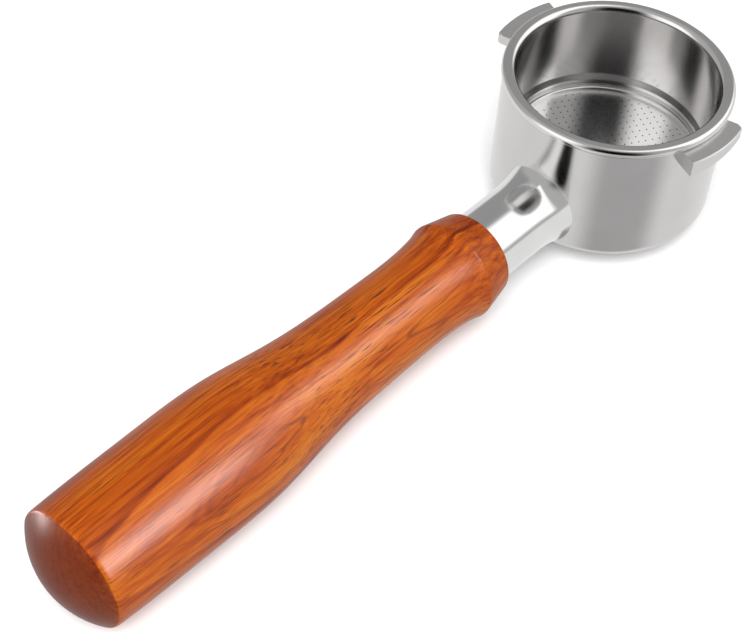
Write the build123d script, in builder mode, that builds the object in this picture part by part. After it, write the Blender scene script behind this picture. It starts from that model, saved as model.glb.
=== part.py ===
from build123d import *
import math
import os

# Bottomless espresso portafilter for a 51 mm basket, with a turned wooden handle.
# Frame, in millimetres: +Z is the cup's axis and points up out of the basket's mouth.
# Z = 0 is the top of the basket's rolled rim, the face that seals in the group head.
# The handle points to -Y, and the two lugs stand out near -X and +X.

os.makedirs("parts", exist_ok=True)

# ---- filter basket: one pressed sheet, rolled over at the rim
RIM_R = 29.2                # outside of the rolled rim
RIM_HEIGHT = 2.08           # rim top to the holder's top face
SHEET = 0.6                 # sheet thickness
BASKET_R = 25.6             # inside of the straight wall
RIM_INNER_ROUND = 1.6
RIM_OUTER_ROUND = 1.2
CURL_RETURN = 2.2           # how far the rolled edge turns back in under the rim
CURL_ROUND = 0.7
CURL_EDGE = 0.15
STEP_TOP = 22.0             # depth where the wall starts to step in
STEP_HEIGHT = 1.5
STEP_IN = 0.75
STEP_ROUND = 0.7
LEDGE_DEPTH = 24.95         # small ledge round the floor
LEDGE_R = 24.3
LEDGE_CORNER = 0.12
FLOOR_CORNER = 0.1
UNDER_ROUND = 1.0
FLOOR_DEPTH = 25.45
FLOOR_R = 24.1
HOLE_R = 0.18               # perforations
HOLE_PITCH = 1.96
HOLE_FIELD_R = 21.7
HOLE_GRID_TURN = 60.0       # degrees

# ---- holder body: ring, two lugs and neck in one casting
BODY_R = 28.6
BODY_DEPTH = 37.0
BOTTOM_ROUND = 3.5
BORE_R = 26.55
BOTTOM_LIP = 4.0            # thickness of the inward lip at the open bottom
OUTLET_R = 23.2
OUTLET_ROUND = 0.6
TOP_EDGE = 0.25
LUG_R = 33.4
LUG_SPAN = 34.6             # degrees round the cup, with both ends square to the ring
LUG_THICKNESS = 3.5         # at the middle of the lug
LUG_RAMP = 5.0              # degrees, slope of the underside: thinner at the leading end
LUG_TURN = -2.8             # degrees from square to the handle
LUG_LEAD = 1.5              # round on the corner that enters the group first
LUG_EDGE = 0.3
NECK_R = 9.35
NECK_END = 52.0             # distance of the neck's end face from the cup's axis
NECK_FILLET = 6.0
NECK_EDGE = 0.35
AXIS_DEPTH = 26.5           # depth of the neck's and handle's axis

# ---- basket spring: split wire ring in a groove of the bore
WIRE_R = 0.6
SPRING_DEPTH = 8.0
SPRING_FIT = 0.05           # free play between wire and basket
SPRING_GAP = 14.0           # degrees, opening of the ring
GROOVE_R = 0.78
SPRING_R = BASKET_R + SHEET + SPRING_FIT + WIRE_R    # centre line of the wire

# ---- handle fixing
STUD_R = 4.95               # M10 thread, drawn at its outside diameter
THREAD_FIT = 0.05
STUD_IN_NECK = 14.0
STUD_IN_HANDLE = 22.0
STUD_CHAMFER = 0.8
INSERT_R = 7.0
INSERT_LENGTH = 24.0
INSERT_FLANGE_R = 8.2
INSERT_FLANGE = 1.5
GLUE_GAP = 0.05
WASHER_R = 8.5
WASHER_HOLE_R = 5.3
WASHER_THICKNESS = 1.0
RECESS_R = 8.75
BORE_DEPTH = 27.0           # bore in the wood, from its front face

# ---- wooden handle: distances are from its front face, radii from its axis
HANDLE_LENGTH = 128.3       # front face to the edge of the domed butt
FRONT_R = 11.2
FLARE_AT = 8.7
FLARE_R = 13.05
FLARE_ROUND = 1.6
FLARE_FALL = 0.35           # slope just behind the flare's crest
THROAT_AT = 14.0
THROAT_R = 11.95
WAIST_AT = 32.0
WAIST_R = 11.5
SWELL_AT = 61.6
SWELL_R = 12.95
SHOULDER_AT = 79.5
SHOULDER_R = 15.2
BELLY_AT = 100.0
BELLY_R = 15.55
BUTT_R = 14.95
BUTT_FALL = 0.05            # slope of the belly where it meets the butt
DOME_HEIGHT = 5.8
BUTT_EDGE = 0.5
FRONT_EDGE = 0.6

CUT = 1.0                   # how far a cutting shape runs past the face it opens
SAME_RADIUS = 0.02          # tolerance when edges are picked by radius


def handle_plane(distance):
    """Plane square to the handle's axis, at a distance from the cup's axis."""
    return Plane(origin=(0, -distance, -AXIS_DEPTH), x_dir=(1, 0, 0), z_dir=(0, -1, 0))


# Sketch plane through the handle's axis: local x runs out along the handle, local y is radial.
along_handle = Plane(origin=(0, -NECK_END, -AXIS_DEPTH), x_dir=(0, -1, 0), z_dir=(1, 0, 0))
handle_axis = Axis((0, 0, -AXIS_DEPTH), (0, -1, 0))


def rings_of_radius(piece, radius):
    """Full-circle edges of a piece that have one radius."""
    circles = piece.edges().filter_by(GeomType.CIRCLE)
    return circles.filter_by(lambda edge: abs(edge.radius - radius) < SAME_RADIUS and edge.is_closed)


# ---- one lug, standing out to +X, with a ramped underside and its leading corner rounded
lug_end = math.radians(LUG_SPAN / 2)
lug_foot = BORE_R + CUT
lug_reach = LUG_R / math.cos(lug_end) + CUT

with BuildPart() as lug:
    with BuildSketch(Plane.XY.offset(-RIM_HEIGHT)):
        with BuildLine():
            Polyline(
                (lug_foot * math.cos(lug_end), -lug_foot * math.sin(lug_end)),
                (lug_reach * math.cos(lug_end), -lug_reach * math.sin(lug_end)),
                (lug_reach * math.cos(lug_end), lug_reach * math.sin(lug_end)),
                (lug_foot * math.cos(lug_end), lug_foot * math.sin(lug_end)),
                close=True,
            )
        make_face()
        Circle(LUG_R, mode=Mode.INTERSECT)
    extrude(amount=-2 * LUG_THICKNESS)
    outer_corners = lug.edges().filter_by(Axis.Z).sort_by(Axis.X)[-2:]
    fillet(outer_corners.sort_by(Axis.Y)[-1], LUG_LEAD)
    ramp = Plane.XY.offset(-RIM_HEIGHT - LUG_THICKNESS).rotated((LUG_RAMP, 0, 0))
    split(bisect_by=ramp, keep=Keep.TOP)
    top_arcs = lug.edges().group_by(Axis.Z)[-1].filter_by(GeomType.CIRCLE)
    chamfer(top_arcs, LUG_EDGE)


# ---- holder body
with BuildPart() as holder_body:
    with BuildSketch(Plane.XY.offset(-BODY_DEPTH)):
        Circle(BODY_R)
    extrude(amount=BODY_DEPTH - RIM_HEIGHT)
    fillet(holder_body.edges().group_by(Axis.Z)[0], BOTTOM_ROUND)
    chamfer(holder_body.edges().group_by(Axis.Z)[-1], TOP_EDGE)

    # Neck, blended into the wall all round.
    with BuildSketch(handle_plane(BORE_R - CUT)):
        Circle(NECK_R)
    extrude(amount=NECK_END - BORE_R + CUT)
    neck_root = holder_body.edges().filter_by(
        lambda edge: BODY_R - NECK_R < -edge.center().Y < NECK_END - CUT
        and abs(edge.center().X) < NECK_R + CUT
        and -BODY_DEPTH + CUT < edge.center().Z < -AXIS_DEPTH + NECK_R + CUT
    )
    fillet(neck_root, NECK_FILLET)
    chamfer(holder_body.faces().sort_by(Axis.Y)[0].edges(), NECK_EDGE)

    for side in (0, 180):
        add(lug.part, rotation=(0, 0, side + LUG_TURN))

    # Bore for the basket, groove for its spring, and the open bottom inside a lip.
    with BuildSketch(Plane.XY.offset(-BODY_DEPTH + BOTTOM_LIP)):
        Circle(BORE_R)
    extrude(amount=BODY_DEPTH, mode=Mode.SUBTRACT)
    with BuildSketch(Plane.XY.offset(-BODY_DEPTH - CUT)):
        Circle(OUTLET_R)
    extrude(amount=BOTTOM_LIP + 2 * CUT, mode=Mode.SUBTRACT)
    fillet(rings_of_radius(holder_body, OUTLET_R), OUTLET_ROUND)
    with BuildSketch(Plane.XZ):
        with Locations((SPRING_R, -SPRING_DEPTH)):
            Circle(GROOVE_R)
    revolve(axis=Axis.Z, mode=Mode.SUBTRACT)

    # Blind threaded hole for the handle's stud.
    with BuildSketch(handle_plane(NECK_END)):
        Circle(STUD_R + THREAD_FIT)
    extrude(amount=-STUD_IN_NECK - CUT, mode=Mode.SUBTRACT)
    chamfer(holder_body.faces().sort_by(Axis.Y)[0].inner_wires()[0].edges(), STUD_CHAMFER)

holder_body.part.label = "holder_body"
export_step(holder_body.part, "parts/holder_body.step")


# ---- basket spring: a ring of round wire with one opening
with BuildPart() as basket_spring:
    with BuildSketch(Plane.XZ.rotated((0, 0, SPRING_GAP / 2))):
        with Locations((SPRING_R, -SPRING_DEPTH)):
            Circle(WIRE_R)
    revolve(axis=Axis.Z, revolution_arc=360 - SPRING_GAP)
    fillet(basket_spring.edges(), WIRE_R / 2)

basket_spring.part.label = "basket_spring"
export_step(basket_spring.part, "parts/basket_spring.step")


# ---- filter basket
wall_outer = BASKET_R + SHEET
floor_under = FLOOR_DEPTH + SHEET
step_bottom = STEP_TOP + STEP_HEIGHT
sheet_rounds = [
    FLOOR_CORNER,
    LEDGE_CORNER,
    LEDGE_CORNER,
    STEP_ROUND,
    STEP_ROUND,
    RIM_INNER_ROUND,
    RIM_OUTER_ROUND,
    CURL_ROUND,
    CURL_EDGE,
    CURL_EDGE,
    CURL_ROUND - SHEET + CURL_EDGE,
    RIM_OUTER_ROUND - SHEET,
    RIM_INNER_ROUND - SHEET,
    STEP_ROUND,
    STEP_ROUND,
    UNDER_ROUND,
]
# Perforations: a square grid, kept inside a round field.
hole_count = 2 * math.ceil(HOLE_FIELD_R / HOLE_PITCH) + 1
hole_grid = GridLocations(HOLE_PITCH, HOLE_PITCH, hole_count, hole_count)
hole_spots = [spot for spot in hole_grid if spot.position.length < HOLE_FIELD_R]

with BuildPart() as filter_basket:
    with BuildSketch(Plane.XZ):
        with BuildLine():
            # From the axis out over the floor, up the inside, over the rim and back down outside.
            sheet_line = FilletPolyline(
                (0, -FLOOR_DEPTH),
                (FLOOR_R, -FLOOR_DEPTH),
                (LEDGE_R, -LEDGE_DEPTH),
                (BASKET_R - STEP_IN, -LEDGE_DEPTH),
                (BASKET_R - STEP_IN, -step_bottom),
                (BASKET_R, -STEP_TOP),
                (BASKET_R, 0),
                (RIM_R, 0),
                (RIM_R, -RIM_HEIGHT),
                (RIM_R - CURL_RETURN, -RIM_HEIGHT),
                (RIM_R - CURL_RETURN, -RIM_HEIGHT + SHEET),
                (RIM_R - SHEET, -RIM_HEIGHT + SHEET),
                (RIM_R - SHEET, -SHEET),
                (wall_outer, -SHEET),
                (wall_outer, -STEP_TOP),
                (wall_outer - STEP_IN, -step_bottom),
                (wall_outer - STEP_IN, -floor_under),
                (0, -floor_under),
                radius=sheet_rounds,
            )
            Line(sheet_line @ 1, sheet_line @ 0)
        make_face()
    revolve(axis=Axis.Z)

    # Perforations through the floor.
    with BuildSketch(Plane.XY.offset(-FLOOR_DEPTH).rotated((0, 0, HOLE_GRID_TURN))):
        with Locations(*hole_spots):
            Circle(HOLE_R)
    extrude(amount=-SHEET, mode=Mode.SUBTRACT)

filter_basket.part.label = "filter_basket"
export_step(filter_basket.part, "parts/filter_basket.step")


# ---- handle stud: threaded rod, screwed into the neck
with BuildPart() as handle_stud:
    with BuildSketch(handle_plane(NECK_END - STUD_IN_NECK)):
        Circle(STUD_R)
    extrude(amount=STUD_IN_NECK + STUD_IN_HANDLE)
    chamfer(handle_stud.edges().filter_by(GeomType.CIRCLE), STUD_CHAMFER)

handle_stud.part.label = "handle_stud"
export_step(handle_stud.part, "parts/handle_stud.step")


# ---- washer between the neck and the handle
with BuildPart() as handle_washer:
    with BuildSketch(handle_plane(NECK_END)):
        Circle(WASHER_R)
        Circle(WASHER_HOLE_R, mode=Mode.SUBTRACT)
    extrude(amount=WASHER_THICKNESS)

handle_washer.part.label = "handle_washer"
export_step(handle_washer.part, "parts/handle_washer.step")


# ---- threaded insert, flanged, glued into the wood
insert_front = NECK_END + WASHER_THICKNESS
with BuildPart() as handle_insert:
    with BuildSketch(handle_plane(insert_front)):
        Circle(INSERT_FLANGE_R)
    extrude(amount=INSERT_FLANGE)
    with BuildSketch(handle_plane(insert_front)):
        Circle(INSERT_R)
    extrude(amount=INSERT_LENGTH)
    with BuildSketch(handle_plane(insert_front)):
        Circle(STUD_R + THREAD_FIT)
    extrude(amount=INSERT_LENGTH, mode=Mode.SUBTRACT)

handle_insert.part.label = "handle_insert"
export_step(handle_insert.part, "parts/handle_insert.step")


# ---- wooden handle, turned round its own axis
with BuildPart() as wooden_handle:
    with BuildSketch(along_handle):
        with BuildLine():
            front_face = Line((0, 0), (0, FRONT_R))
            flare = Line(front_face @ 1, (FLARE_AT, FLARE_R))
            grip = Spline(
                flare @ 1,
                (THROAT_AT, THROAT_R),
                (WAIST_AT, WAIST_R),
                (SWELL_AT, SWELL_R),
                (SHOULDER_AT, SHOULDER_R),
                (BELLY_AT, BELLY_R),
                (HANDLE_LENGTH, BUTT_R),
                tangents=[(1, -FLARE_FALL), (1, -BUTT_FALL)],
            )
            dome_top = (HANDLE_LENGTH + DOME_HEIGHT, 0)
            dome = TangentArc(dome_top, grip @ 1, tangent=(0, 1))
            Line(dome_top, (0, 0))
        make_face()
    revolve(axis=handle_axis)
    for edge_r, edge_round in ((BUTT_R, BUTT_EDGE), (FLARE_R, FLARE_ROUND), (FRONT_R, FRONT_EDGE)):
        fillet(rings_of_radius(wooden_handle, edge_r), edge_round)

    # Recess for the washer, seat for the insert's flange, and its bore.
    with BuildSketch(handle_plane(NECK_END)):
        Circle(RECESS_R)
    extrude(amount=WASHER_THICKNESS + INSERT_FLANGE, mode=Mode.SUBTRACT)
    with BuildSketch(handle_plane(NECK_END)):
        Circle(INSERT_R + GLUE_GAP)
    extrude(amount=BORE_DEPTH, mode=Mode.SUBTRACT)

wooden_handle.part.label = "wooden_handle"
export_step(wooden_handle.part, "parts/wooden_handle.step")
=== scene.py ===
import math

import bpy
from mathutils import Matrix, Vector
from mathutils.geometry import delaunay_2d_cdt
import numpy as np


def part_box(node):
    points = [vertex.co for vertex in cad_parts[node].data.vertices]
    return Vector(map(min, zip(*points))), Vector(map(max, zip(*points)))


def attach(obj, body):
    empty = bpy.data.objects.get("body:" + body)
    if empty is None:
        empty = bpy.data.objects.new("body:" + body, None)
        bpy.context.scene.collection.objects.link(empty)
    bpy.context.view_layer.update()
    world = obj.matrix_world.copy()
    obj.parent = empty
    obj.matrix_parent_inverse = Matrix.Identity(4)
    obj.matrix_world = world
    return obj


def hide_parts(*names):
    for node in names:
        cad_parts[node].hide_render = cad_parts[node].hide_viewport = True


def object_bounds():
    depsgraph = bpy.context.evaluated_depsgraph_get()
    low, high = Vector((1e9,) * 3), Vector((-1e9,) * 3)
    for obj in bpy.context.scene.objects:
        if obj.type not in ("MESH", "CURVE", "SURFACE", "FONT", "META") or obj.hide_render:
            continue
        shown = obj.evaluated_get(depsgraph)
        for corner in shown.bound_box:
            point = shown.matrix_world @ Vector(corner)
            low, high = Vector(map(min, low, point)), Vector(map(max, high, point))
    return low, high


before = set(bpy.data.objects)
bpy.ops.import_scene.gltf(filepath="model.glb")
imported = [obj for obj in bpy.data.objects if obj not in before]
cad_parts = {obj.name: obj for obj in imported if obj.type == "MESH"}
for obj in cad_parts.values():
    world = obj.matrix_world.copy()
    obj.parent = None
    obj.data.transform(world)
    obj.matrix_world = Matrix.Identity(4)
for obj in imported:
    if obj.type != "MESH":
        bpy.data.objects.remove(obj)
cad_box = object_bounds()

# Portafilter: steel holder, perforated basket and lacquered wooden handle, in metres.
# The frame's Z axis is the cup's axis, Z = 0 is the top of the basket's rim, and the handle
# points to -Y. Every outline below is written in millimetres and scaled once, by MM.

MM = 0.001
TAU = 2 * math.pi

# ---- sizes in millimetres, the large ones read from the frame
basket_low, basket_high = (Vector(c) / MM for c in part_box("filter_basket"))
holder_low, holder_high = (Vector(c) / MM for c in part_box("holder_body"))
wood_low, wood_high = (Vector(c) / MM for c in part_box("wooden_handle"))
stud_low, stud_high = (Vector(c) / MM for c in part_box("handle_stud"))
insert_low, insert_high = (Vector(c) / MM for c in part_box("handle_insert"))
_, washer_high = (Vector(c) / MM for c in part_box("handle_washer"))
spring_low, spring_high = (Vector(c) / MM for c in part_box("basket_spring"))

RIM_R = basket_high.x
RIM_HEIGHT = 2.08
CURL = 2.2                  # how far the rolled rim's edge turns back in under it
SHEET = 0.6
BASKET_R = 25.6
STEP_TOP = -22.0
STEP_BOTTOM = -23.5
STEP_IN = 0.75
LEDGE_Z = -24.95
LEDGE_R = 24.3
FLOOR_Z = basket_low.z + SHEET
FLOOR_R = 24.1
HOLE_R = 0.2
HOLE_PITCH = 1.96
HOLE_FIELD_R = 21.7
HOLE_GRID_TURN = math.radians(60)
HOLE_SIDES = 12
DISC_R = HOLE_FIELD_R + 1.0     # the perforated disc in the middle of the floor

BODY_R = holder_high.y
TOP_Z = holder_high.z
BOTTOM_Z = holder_low.z
BOTTOM_ROUND = 3.5
BORE_R = 26.55
LIP_Z = BOTTOM_Z + 4.0
OUTLET_R = 23.2
OUTLET_ROUND = 0.6
TOP_EDGE = 0.25
LUG_R = 33.4
LUG_SPAN = math.radians(34.6)
LUG_THICKNESS = 3.5
LUG_RAMP = math.radians(5)
LUG_TURN = math.radians(-2.8)
LUG_LEAD = 1.5              # round on the corner that enters the group first
LUG_EDGE = 0.3
NECK_R = 9.35
NECK_END = -wood_high.y
FOOT_BALL = 1.9             # radius of a ball rolling round the neck; it touches the wall at the foot
FLARE_END = 38.3            # distance from the cup's axis where the flare has run out
FLARE_POWER = 3.0           # how fast it narrows
NECK_EDGE = 0.35
AXIS_Z = (stud_low.z + stud_high.z) / 2
HANDLE_AZIMUTH = math.radians(-90)

WIRE_R = (spring_high.z - spring_low.z) / 2
SPRING_Z = (spring_high.z + spring_low.z) / 2
SPRING_R = spring_high.y - WIRE_R
SPRING_GAP = math.radians(14)
GROOVE_R = 0.78

PLAY = 0.05                 # gap round the stud and round the insert
STUD_R = stud_high.x
STUD_CHAMFER = 0.8
THREAD_PITCH = 1.5
THREAD_DEPTH = 0.85
THREAD_ROOT = 0.12          # half the flat at the thread's root, as a share of half the pitch
THREAD_FLANK = 0.7          # and the slope beside it
THREAD_HOLE_R = STUD_R + PLAY
THREAD_HOLE_END = NECK_END - 15.0
WASHER_R = washer_high.x
WASHER_HOLE_R = 5.3
WASHER_THICKNESS = 1.0
WASHER_EDGE = 0.12
INSERT_R = 7.0
INSERT_FLANGE_R = insert_high.x
INSERT_FLANGE = 1.5
FLANGE_BACK = WASHER_THICKNESS + INSERT_FLANGE
RECESS_R = 8.75             # the wood's recess, for the washer and the insert's flange
WOOD_BORE = 27.0

HANDLE_LENGTH = 128.3
FRONT_R = 11.2
CREST_AT = 8.7              # the widest place near the front, from the handle's front face
CREST_R = 13.05
CREST_ROUND = 1.6
CREST_GAP = 0.15            # from the crest's round to the first point of the grip's curve
FRONT_EDGE = 0.6
BUTT_R = 14.95
BUTT_EDGE_IN = 0.375        # the rounded corner of the butt, across its dome
BUTT_EDGE_ALONG = 0.4       # and along the grip
DOME_HEIGHT = -wood_low.y - NECK_END - HANDLE_LENGTH
GRIP = [
    # distance from the handle's front face, radius
    (CREST_AT, CREST_R),
    (14.0, 11.95),
    (32.0, 11.5),
    (61.6, 12.95),
    (79.5, 15.2),
    (100.0, 15.55),
    (HANDLE_LENGTH, BUTT_R),
]
GRIP_START_SLOPE = -0.35
GRIP_END_SLOPE = -0.05

# ---- fineness of the meshes
COLUMNS = 192
FIXING_COLUMNS = 96         # insert and washer
GROOVE_STEPS = 16
LUG_STEPS = 24
LUG_LEAD_STEPS = 8
GRIP_STEPS = 28             # in each span of the grip's curve
CREST_STEPS = 8
DOME_STEPS = 24
BUTT_EDGE_STEPS = 8
THREAD_ROWS = 12            # in each turn of the thread
SPRING_STEPS = 160
SPRING_TIP_STEPS = 5
BASKET_SEGMENT = 3.0        # longest segments of the outlines, in millimetres
GRIP_SEGMENT = 2.5
INSERT_SEGMENT = 1.5


# ---- outlines: chains of short segments, each with the surface normal at both its ends
def direction(angle):
    """Unit vector in the plane."""
    return Vector((math.cos(angle), math.sin(angle)))


def corner_arc(before, corner, after, radius, steps):
    """Points and normals of the round between two straight runs, normal to the left of travel."""
    into = (corner - before).normalized()
    out = (after - corner).normalized()
    turn = math.atan2(into.x * out.y - into.y * out.x, into.dot(out))
    reach = radius * math.tan(abs(turn) / 2)
    side = 1 if turn > 0 else -1
    left = Vector((-into.y, into.x))
    centre = corner - into * reach + left * radius * side
    arc = []
    for k in range(steps + 1):
        swing = turn * k / steps
        spin = Matrix.Rotation(swing, 2)
        normal = spin @ left
        arc.append((centre - normal * radius * side, normal))
    return arc


def outline(points, radii, closed=False, steps=8):
    """Segments (start, normal, end, normal) of a polyline with rounded corners."""
    points = [Vector(p) for p in points]
    count = len(points)
    runs = []
    for i, corner in enumerate(points):
        radius = radii[i]
        inner = closed or 0 < i < count - 1
        if inner and radius > 0:
            runs.append(corner_arc(points[i - 1], corner, points[(i + 1) % count], radius, steps))
        else:
            runs.append([(corner, None)])
    segments = []
    for i, run in enumerate(runs):
        for (a, na), (b, nb) in zip(run, run[1:]):
            segments.append((a, na, b, nb))
        if i == count - 1 and not closed:
            break
        a = run[-1][0]
        b = runs[(i + 1) % count][0][0]
        if (b - a).length > 1e-6:
            along = (b - a).normalized()
            normal = Vector((-along.y, along.x))
            segments.append((a, normal, b, normal))
    return segments


def split_long(segments, longest):
    """Cuts straight segments into pieces no longer than a length, for an even mesh."""
    cut = []
    for a, na, b, nb in segments:
        pieces = max(1, math.ceil((b - a).length / longest))
        for k in range(pieces):
            near = k / pieces
            far = (k + 1) / pieces
            normals = [na.lerp(nb, t).normalized() for t in (near, far)]
            cut.append((a.lerp(b, near), normals[0], a.lerp(b, far), normals[1]))
    return cut


# ---- meshes with their exact surface normals
class Shell:
    """Collects faces in millimetres, with a normal at each corner, and welds equal points."""

    def __init__(self):
        self.points = []
        self.index = {}
        self.faces = []
        self.normals = []
        self.finishes = []

    def point(self, place):
        key = tuple(round(c * 1e4) for c in place)
        if key not in self.index:
            self.index[key] = len(self.points)
            self.points.append(Vector(place))
        return self.index[key]

    def face(self, corners, finish=0):
        """corners: (place, normal) pairs. The winding follows the normals."""
        ids = []
        normals = []
        for place, normal in corners:
            i = self.point(place)
            if i not in ids:
                ids.append(i)
                normals.append(normal)
        if len(ids) < 3:
            return
        facing = Vector()
        for k in range(len(ids)):
            facing += self.points[ids[k]].cross(self.points[ids[(k + 1) % len(ids)]])
        if facing.dot(sum(normals, Vector())) < 0:
            ids.reverse()
            normals.reverse()
        self.faces.append(ids)
        self.normals.extend(normals)
        self.finishes.append(finish)

    def lathe(self, segments, place, columns=COLUMNS, start=0.0, finish=0):
        """Turns an outline all the way round. place(point, normal, angle) gives both in space."""
        for i in range(columns):
            a0 = start + TAU * i / columns
            a1 = start + TAU * (i + 1) / columns
            if i == columns - 1:
                a1 = start
            for p, n, q, m in segments:
                self.face(
                    [
                        place(p, n, a0),
                        place(p, n, a1),
                        place(q, m, a1),
                        place(q, m, a0),
                    ],
                    finish,
                )

    def build(self, name, *materials):
        mesh = bpy.data.meshes.new(name)
        mesh.from_pydata([p * MM for p in self.points], [], self.faces)
        for material in materials:
            mesh.materials.append(material)
        mesh.polygons.foreach_set("material_index", self.finishes)
        mesh.polygons.foreach_set("use_smooth", [True] * len(self.faces))
        mesh.normals_split_custom_set([n.normalized() for n in self.normals])
        mesh.update()
        piece = bpy.data.objects.new(name, mesh)
        bpy.context.scene.collection.objects.link(piece)
        return piece


def round_cup(point, normal, angle):
    """Place for turning about the cup's axis: point is (radius, height)."""
    c = math.cos(angle)
    s = math.sin(angle)
    return Vector((point.x * c, point.x * s, point.y)), Vector((normal.x * c, normal.x * s, normal.y))


def round_handle(point, normal, angle):
    """Place for turning about the handle's axis: point is (distance from the cup's axis, radius)."""
    c = math.cos(angle)
    s = math.sin(angle)
    place = Vector((point.y * s, -point.x, AXIS_Z + point.y * c))
    return place, Vector((normal.y * s, -normal.x, normal.y * c))


# ---- materials
class Nodes:
    """Short helper for the node tree of a material or of the world."""

    def __init__(self, owner):
        owner.use_nodes = True
        self.owner = owner
        self.tree = owner.node_tree
        self.shader = self.tree.nodes.get("Principled BSDF")

    def add(self, kind, **settings):
        node = self.tree.nodes.new(kind)
        for key, value in settings.items():
            setattr(node, key, value)
        return node

    def link(self, output, target):
        self.tree.links.new(output, target)

    def set(self, **values):
        for name, value in values.items():
            self.shader.inputs[name.replace("_", " ")].default_value = value

    def coordinates(self, scale, location=(0, 0, 0)):
        place = self.add("ShaderNodeTexCoord")
        mapping = self.add("ShaderNodeMapping")
        mapping.inputs["Scale"].default_value = scale
        mapping.inputs["Location"].default_value = location
        self.link(place.outputs["Object"], mapping.inputs["Vector"])
        return mapping.outputs["Vector"]

    def noise(self, vector, scale, detail=4.0, roughness=0.5, distortion=0.0):
        node = self.add("ShaderNodeTexNoise")
        node.inputs["Scale"].default_value = scale
        node.inputs["Detail"].default_value = detail
        node.inputs["Roughness"].default_value = roughness
        node.inputs["Distortion"].default_value = distortion
        self.link(vector, node.inputs["Vector"])
        return node.outputs["Fac"]

    def math(self, operation, a, b=None, c=None):
        node = self.add("ShaderNodeMath", operation=operation)
        for slot, value in enumerate((a, b, c)):
            if value is None:
                continue
            if isinstance(value, (int, float)):
                node.inputs[slot].default_value = value
            else:
                self.link(value, node.inputs[slot])
        return node.outputs[0]

    def remap(self, value, low, high, to_low, to_high, smooth=False):
        node = self.add("ShaderNodeMapRange")
        if smooth:
            node.interpolation_type = "SMOOTHSTEP"
        self.link(value, node.inputs["Value"])
        node.inputs["From Min"].default_value = low
        node.inputs["From Max"].default_value = high
        node.inputs["To Min"].default_value = to_low
        node.inputs["To Max"].default_value = to_high
        return node.outputs["Result"]

    def ramp(self, value, stops):
        node = self.add("ShaderNodeValToRGB")
        elements = node.color_ramp.elements
        while len(elements) > 1:
            elements.remove(elements[-1])
        elements[0].position = stops[0][0]
        elements[0].color = (*stops[0][1], 1)
        for position, color in stops[1:]:
            elements.new(position).color = (*color, 1)
        self.link(value, node.inputs["Fac"])
        return node.outputs["Color"]

    def mix(self, factor, a, b):
        node = self.add("ShaderNodeMix", data_type="RGBA")
        for name, value in (("Factor", factor), ("A", a), ("B", b)):
            slots = [s for s in node.inputs if s.name == name and s.enabled]
            if isinstance(value, (int, float)):
                slots[0].default_value = value
            elif isinstance(value, tuple):
                slots[0].default_value = (*value, 1)
            else:
                self.link(value, slots[0])
        return [s for s in node.outputs if s.enabled][0]

    def bump(self, height, distance, strength=1.0):
        node = self.add("ShaderNodeBump")
        node.inputs["Strength"].default_value = strength
        node.inputs["Distance"].default_value = distance
        self.link(height, node.inputs["Height"])
        return node.outputs["Normal"]

    def part(self, output, axis):
        node = self.add("ShaderNodeSeparateXYZ")
        self.link(output, node.inputs[0])
        return node.outputs[axis]


# ---- holder body: ring with an open bottom, neck flaring into it, and two lugs
WALL_FINISH = 0
NECK_FINISH = 1
LUG_FINISH = 2
ROUND_Z = BOTTOM_Z + BOTTOM_ROUND
WALL_TOP_Z = TOP_Z - TOP_EDGE
WALL_LENGTH = WALL_TOP_Z - ROUND_Z
OUTER_LENGTH = WALL_LENGTH + BOTTOM_ROUND * math.pi / 2
WALL_ROWS = 20
ROUND_ROWS = 10
PATCH_COLUMNS = 20          # columns of the wall each side of the neck that its patch takes up
PATCH_TOP_ROW = 6
PATCH_RINGS = 12
FLARE_STEPS = 14
FLARE_CROWDING = 1.5        # above 1, the flare's rings lie closer together near the wall
NECK_STEPS = 6
NECK_DIRECTIONS = 2880      # tried for each border point of the patch


def outer_surface(angle, down):
    """Point and normal on the ring's outside: down runs along the wall and round the bottom edge."""
    radius = BODY_R
    height = WALL_TOP_Z - down
    tilt = 0.0
    if down > WALL_LENGTH:
        tilt = (down - WALL_LENGTH) / BOTTOM_ROUND
        radius = BODY_R - BOTTOM_ROUND * (1 - math.cos(tilt))
        height = ROUND_Z - BOTTOM_ROUND * math.sin(tilt)
    c = math.cos(angle)
    s = math.sin(angle)
    normal = Vector((math.cos(tilt) * c, math.cos(tilt) * s, -math.sin(tilt)))
    return Vector((radius * c, radius * s, height)), normal


def flare_foot(swing):
    """Angle and depth where a ball rolling round the neck touches the wall."""
    reach = NECK_R + FOOT_BALL
    x = reach * math.sin(swing)
    z = AXIS_Z + reach * math.cos(swing)
    below = ROUND_Z - z
    if below > 0:
        ball_reach = math.sqrt((BOTTOM_ROUND + FOOT_BALL) ** 2 - below**2)
        out = BODY_R - BOTTOM_ROUND + ball_reach
        tilt = math.atan2(below, ball_reach)
        down = WALL_LENGTH + BOTTOM_ROUND * tilt
    else:
        out = BODY_R + FOOT_BALL
        down = WALL_TOP_Z - z
    y = -math.sqrt(out**2 - x**2)
    return math.atan2(y, x), down


def flare_point(swing, along):
    """Point of the neck's flare: along is 0 at the wall and 1 where the flare has run out."""
    foot, _ = outer_surface(*flare_foot(swing))
    neck = Vector((NECK_R * math.sin(swing), -FLARE_END, AXIS_Z + NECK_R * math.cos(swing)))
    place = neck + (foot - neck) * (1 - along) ** FLARE_POWER
    place.y = foot.y + (neck.y - foot.y) * along
    return place


def flare(swing, along):
    """Point of the flare and its normal, from the slopes of the surface on both sides of it."""
    step = 0.001
    round_neck = flare_point(swing + step, along) - flare_point(swing - step, along)
    down_neck = flare_point(swing, min(along + step, 1)) - flare_point(swing, max(along - step, 0))
    normal = round_neck.cross(down_neck).normalized()
    if normal.dot(Vector((math.sin(swing), 0, math.cos(swing)))) < 0:
        normal = -normal
    return flare_point(swing, along), normal


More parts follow.
